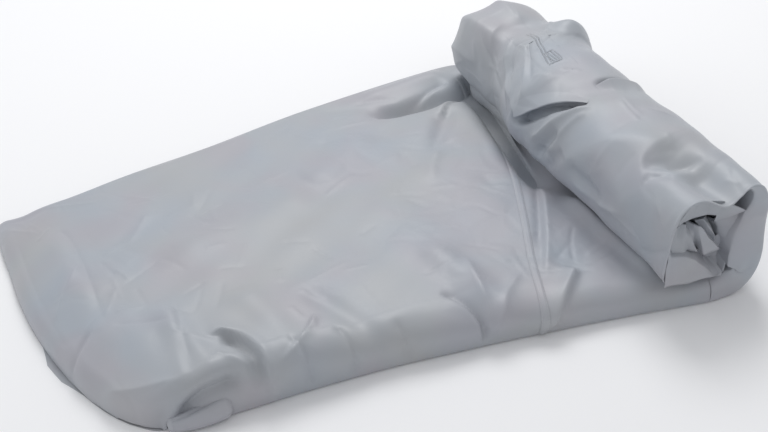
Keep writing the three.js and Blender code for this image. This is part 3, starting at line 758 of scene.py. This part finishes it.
def on_roll(grid, turn, y):
    """Points of the roll's outside at turns and Ys, from the four nearest of its grid, by their nearness."""
    turn, y = np.broadcast_arrays(turn, y)
    i = np.clip(turn / OUTER_TURNS * (len(grid) - 1), 0, len(grid) - 1.001)
    i0 = i.astype(int)
    last = outer_columns[0] - 1
    far, near = unparted[i0, 0, 1], unparted[i0, last, 1]
    j = np.clip((far - y) / (far - near) * last, 0, last - 0.001)
    j0 = j.astype(int)
    i, j = (i - i0)[..., None], (j - j0)[..., None]
    return mix(mix(grid[i0, j0], grid[i0, j0 + 1], j), mix(grid[i0 + 1, j0], grid[i0 + 1, j0 + 1], j), i)


LAP_THICK = 0.003
LAP_SUNK = 0.0009  # how far under the roll's skin a lap ends


def lap(edge, reach, rise, ends):
    """A fold of the cloth that lies over the roll, as a grid of points: along its under side, round its
    folded edge, and back until it runs into the cloth. The edge is three points by turn and Y, with the
    fold on its left. The two ends are shares of the rise."""
    line = bend_line([p * ROUND if k % 2 == 0 else p for k, p in enumerate(edge)], 70)
    along = np.gradient(line, axis=0)
    aside = np.stack([-along[:, 1], along[:, 0]], 1) / np.linalg.norm(along, axis=1)[:, None]
    k = np.linspace(0, 1, 70)
    high = np.interp(k, [0, 0.25, 0.75, 1], [ends[0], 1, 1, ends[1]])[:, None]
    curl = np.linspace(-np.pi / 2, np.pi / 2, 9)[1:-1]
    round_edge = -LAP_THICK / 2 / reach * np.cos(curl)
    far = np.concatenate([np.linspace(0.5, 0, 9), round_edge, np.linspace(0, 1, 30)])
    lift = rise * (1 - np.maximum(far, 0)) ** 1.6 - LAP_SUNK * np.maximum(far, 0)
    lift -= LAP_THICK / 2 * np.concatenate([np.ones(9) * 2, 1 - np.sin(curl), np.zeros(30)])
    at = line[:, None] + aside[:, None] * (far * reach)[None, :, None] * mix(0.5, 1, high)[..., None]
    lift = (lift + LAP_SUNK) * high - LAP_SUNK
    turn, y = at[..., 0] / ROUND, at[..., 1]
    return on_roll(unparted, turn, y) + on_roll(outward, turn, y) * lift[..., None]


# The far part's edge over the collar's dark parting, and the near part's edge:
laps = [
    lap((0.566, -0.058, 0.637, -0.007, 0.716, 0.048), 0.032, 0.0045, (0, 0.8)),
    lap((0.505, -0.026, 0.430, -0.030, 0.360, -0.050), 0.032, 0.0060, (0, 0)),
]
ROLL_CORE = (0.345, 0, 0.100)
CORE_SHARE = 0.30  # how much nearer to it, by X and Z, a crushed face is turned back


def crushed(*edges, seed=1, deep=(0, 0)):
    """A crushed face of cloth, as a grid of points: straight between edges of as many corners each, with a
    slight unevenness. It is turned back into the roll at its first and last edge, as far behind them as
    deep says."""
    k = np.linspace(0, 1, 90)
    lines = []
    for edge in edges:
        corners = np.array(edge)
        at = np.linspace(0, 1, len(corners))
        lines.append(np.stack([np.interp(k, at, corners[:, i]) for i in range(3)], 1))
    nearer = [CORE_SHARE, 0, CORE_SHARE]
    if deep[0]:
        lines.insert(0, mix(lines[0], np.array(ROLL_CORE), nearer) + [0, deep[0], 0])
    if deep[1]:
        lines.append(mix(lines[-1], np.array(ROLL_CORE), nearer) + [0, deep[1], 0])
    lines = np.array(lines)
    t = np.linspace(0, len(lines) - 1, 16 * (len(lines) - 1) + 1)
    i = np.minimum(t.astype(int), len(lines) - 2)
    grid = mix(lines[i], lines[i + 1], (t - i)[:, None, None])
    uneven = swell(grid[..., 0], grid[..., 2] + grid[..., 1], seed, 0.04, 0.0009)
    return grid + normals(grid) * uneven[..., None]


# The near ends of the inner wraps, crushed flat: each face by the x, y and z of its edges' corners,
# from the upper or inner edge to the lower or outer one.
front_panel = crushed(
    [(0.254, -0.350, 0.116), (0.262, -0.347, 0.105), (0.288, -0.346, 0.096), (0.308, -0.346, 0.083),
     (0.344, -0.348, 0.047), (0.357, -0.349, 0.049)],
    [(0.252, -0.354, 0.059), (0.270, -0.354, 0.057), (0.297, -0.354, 0.054), (0.320, -0.354, 0.052),
     (0.341, -0.353, 0.049), (0.353, -0.352, 0.045)],
    seed=2, deep=(0.030, 0.030),
)
second_top = crushed(
    [(0.266, -0.343, 0.150), (0.282, -0.344, 0.173), (0.297, -0.344, 0.185), (0.318, -0.344, 0.179),
     (0.345, -0.344, 0.169)],
    [(0.273, -0.334, 0.141), (0.288, -0.332, 0.145), (0.301, -0.332, 0.146), (0.327, -0.333, 0.146),
     (0.347, -0.334, 0.139)],
    seed=3, deep=(0.040, 0.030),
)
second_corner = crushed(
    [(0.342, -0.343, 0.170), (0.362, -0.345, 0.158), (0.388, -0.347, 0.142)],
    [(0.344, -0.330, 0.127), (0.346, -0.330, 0.128), (0.350, -0.331, 0.129)],
    seed=4, deep=(0.040, 0.030),
)
second_side = crushed(
    [(0.346, -0.326, 0.129), (0.357, -0.325, 0.112), (0.360, -0.325, 0.098), (0.366, -0.327, 0.080),
     (0.369, -0.331, 0.063), (0.365, -0.338, 0.038)],
    [(0.389, -0.340, 0.143), (0.380, -0.343, 0.117), (0.372, -0.344, 0.091), (0.369, -0.344, 0.083),
     (0.366, -0.345, 0.065), (0.361, -0.347, 0.043)],
    seed=5, deep=(0.030, 0.040),
)
inner_face = crushed(
    [(0.351, -0.322, 0.088), (0.333, -0.316, 0.073), (0.325, -0.312, 0.064), (0.340, -0.326, 0.046)],
    [(0.361, -0.326, 0.100), (0.366, -0.328, 0.080), (0.369, -0.331, 0.062), (0.362, -0.340, 0.038)],
    seed=6, deep=(0.030, 0),
)
# The innermost wrap is pleated like a fan, from its upper left.
fan = crushed(
    [(0.279, -0.331, 0.138), (0.283, -0.330, 0.138), (0.290, -0.322, 0.137), (0.297, -0.328, 0.136),
     (0.303, -0.316, 0.135), (0.308, -0.331, 0.134), (0.313, -0.334, 0.132), (0.317, -0.335, 0.130),
     (0.319, -0.318, 0.130), (0.328, -0.326, 0.135), (0.346, -0.312, 0.130)],
    [(0.266, -0.337, 0.113), (0.271, -0.340, 0.098), (0.289, -0.340, 0.094), (0.302, -0.332, 0.093),
     (0.313, -0.341, 0.093), (0.321, -0.324, 0.091), (0.328, -0.339, 0.079), (0.353, -0.341, 0.084),
     (0.352, -0.327, 0.089), (0.350, -0.332, 0.101), (0.344, -0.318, 0.121)],
    seed=7, deep=(0.020, 0.035),
)
wound_ends = [front_panel, second_top, second_corner, second_side, inner_face, fan]

wrap_edges = make_piece("wrap_edges", [*laps, *wound_ends])
wrap_edges.data.materials.append(grey_cloth)
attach(wrap_edges, "root")

# The felled seam that joins the two panels: their edges are folded into each other and sewn flat with two
# rows of lock stitch, which makes a raised band. It runs slantwise over the strip and down its near side.
SEAM_WIDE = 0.013
SEAM_THICK = 0.0014
STITCH_ROWS = (0.14, 0.86)  # as shares of the band's width
GROOVE_DEEP, GROOVE_WIDE = 0.0005, 0.0009  # where a row of stitches draws the band in
PLACE_LONG = 0.140  # metres from one place to the next at the seam
STEPS = 14

share = np.linspace(0, 1, STEPS + 1)[:, None]
seam_places = SEAM_PLACE + (share - 0.5) * SEAM_WIDE / PLACE_LONG
under_seam, starts = laid_skin(seam_places, LAID_COLUMNS)
first, last = starts[1] + 8, int(mix(starts[2], starts[3], 0.93))
level = 0.0004 + SEAM_THICK * (1 - np.abs(2 * share - 1) ** 6)
for row in STITCH_ROWS:
    level = level - GROOVE_DEEP * np.exp(-(((share - row) * SEAM_WIDE / GROOVE_WIDE) ** 2))
band = (under_seam + normals(under_seam) * level[..., None])[:, first:last]
felled_band = make_piece("felled_band", [band])
felled_band.data.materials.append(grey_cloth)
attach(felled_band, "root")
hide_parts("felled_seam")


def stitches(line, up, pitch, long, thick):
    """A row of stitches along a line on the cloth, each as a grid of points: a round thread whose ends dip
    into the cloth, as thick as the root of what its distance from the middle leaves of 1, squared."""
    steps = np.linalg.norm(np.diff(line, axis=0), axis=1)
    far = np.concatenate([[0], np.cumsum(steps)])
    at = np.arange(pitch / 2, far[-1] - pitch / 2, pitch)
    along = np.gradient(line, axis=0)
    middle, forward, out = (
        np.stack([np.interp(at, far, a[:, k]) for k in range(3)], 1) for a in (line, along, up)
    )
    forward /= np.linalg.norm(forward, axis=1, keepdims=True)
    out /= np.linalg.norm(out, axis=1, keepdims=True)
    aside = np.cross(out, forward)
    t = np.linspace(-1, 1, 7)[:, None]
    turn = np.linspace(0, -2 * np.pi, 7)[None]
    thin = np.sqrt(np.maximum(1 - t**2, 0.02)) * thick / 2
    parts = (long / 2 * t + 0 * turn, thin * np.cos(turn), thin * np.sin(turn) + thick * (0.45 - 0.7 * t**2))
    frames = (forward, aside, out)
    placed = sum(p[None, ..., None] * f[:, None, None] for p, f in zip(parts, frames))
    return list(middle[:, None, None] + placed)


THREAD_DARK, THREAD_PALE = (0.42, 0.43, 0.45, 1), (0.62, 0.63, 0.65, 1)
thread = bpy.data.materials.new("polyester_thread")
thread.use_nodes = True
shader = thread.node_tree.nodes["Principled BSDF"]
shader.inputs["Roughness"].default_value = 0.5
shader.inputs["Sheen Weight"].default_value = 0.2
start = Value(thread.node_tree)
place = start.node("TexCoord", {}, {}, "Object")
tint = start.node("TexNoise", {}, {"Vector": place, "Scale": 90, "Detail": 1})
tint = start.node("Mix", {"data_type": "RGBA"}, {0: tint, 6: THREAD_DARK, 7: THREAD_PALE}, 2)
thread.node_tree.links.new(tint.socket, shader.inputs["Base Color"])

out = normals(band)
rows = [int(round(row * STEPS)) for row in STITCH_ROWS]
seam_rows = [s for row in rows for s in stitches(band[row], out[row], pitch=0.0042, long=0.0032, thick=0.0007)]
seam_stitching = make_piece("seam_stitching", seam_rows)
seam_stitching.data.materials.append(thread)
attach(seam_stitching, "root")

# The sewn box: the thread of a webbing strap that is sewn on inside, of which only the stitches show, on
# the far part of the roll. Two long rows run into a box crossed by short rows.
# Each row by the turn and Y of its two ends:
BOX_ROWS = [
    (0.524, 0.194, 0.558, 0.066),
    (0.515, 0.190, 0.548, 0.066),
    (0.547, 0.098, 0.539, 0.066),
    (0.536, 0.101, 0.530, 0.066),
    (0.525, 0.104, 0.522, 0.066),
    (0.514, 0.100, 0.514, 0.067),
    (0.551, 0.098, 0.512, 0.103),
    (0.560, 0.064, 0.513, 0.065),
]

# The cloth round the rows, drawn in along each and a little fuller beside it, as a finer patch on the roll.
# Its border lies just under the roll's skin, and the rest just over it.
PATCH_TURN, PATCH_TURNS = 0.485, 0.100  # where it begins, and how far it goes
PATCH_FAR, PATCH_NEAR = 0.235, 0.030  # the Ys of its two ends
ROLL_NEAR, ROLL_LONG, FINE = -0.35, 0.68, 1100  # the roll's near end, its length, and columns along it
PATCH_UNDER, PATCH_OVER = 0.0004, 0.0002
THREAD_UP = 0.0003  # how far the rows lie over the patch
patch_turns = np.linspace(PATCH_TURN, PATCH_TURN + PATCH_TURNS, 110)[:, None]
patch, _ = roll_skin(patch_turns, (FINE, 34, 14, 6, 8), PARTINGS)
kept = slice(*(FINE - int((y - ROLL_NEAR) / ROLL_LONG * FINE) for y in (PATCH_FAR, PATCH_NEAR)))
patch = patch[:, kept]
u, v = patch_turns * ROUND + 0 * patch[..., 1], patch[..., 1]
drawn_in = [
    ("soft", w, h, mix(t0, t1, -0.1) * ROUND, mix(y0, y1, -0.1), (t0 + t1) / 2 * ROUND, (y0 + y1) / 2,
     mix(t0, t1, 1.1) * ROUND, mix(y0, y1, 1.1))
    for t0, y0, t1, y1 in BOX_ROWS
    for w, h in ((0.0050, 0.0009), (0.0020, -0.0018))
]
i, j = np.linspace(0, 1, patch.shape[0])[:, None], np.linspace(0, 1, patch.shape[1])[None]
inside = smooth(np.minimum(i, 1 - i) / 0.12) * smooth(np.minimum(j, 1 - j) / 0.08)
patch_out = normals(patch)
lift = folds_at(u, v, drawn_in) * inside + mix(-PATCH_UNDER, PATCH_OVER, inside)
patch = patch + patch_out * lift[..., None]
strap_print = make_piece("strap_print", [patch])
strap_print.data.materials.append(grey_cloth)
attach(strap_print, "root")

box_rows = []
for turn0, y0, turn1, y1 in BOX_ROWS:
    k = np.linspace(0, 1, 60)
    i = np.round((mix(turn0, turn1, k) - PATCH_TURN) / PATCH_TURNS * (len(patch) - 1)).astype(int)
    j = np.argmin(np.abs(patch[i, :, 1] - mix(y0, y1, k)[:, None]), 1)
    line = patch[i, j] + patch_out[i, j] * THREAD_UP
    box_rows += stitches(line, patch_out[i, j], pitch=0.0038, long=0.0030, thick=0.0010)
sewn_box = make_piece("sewn_box", box_rows)
sewn_box.data.materials.append(thread)
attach(sewn_box, "root")
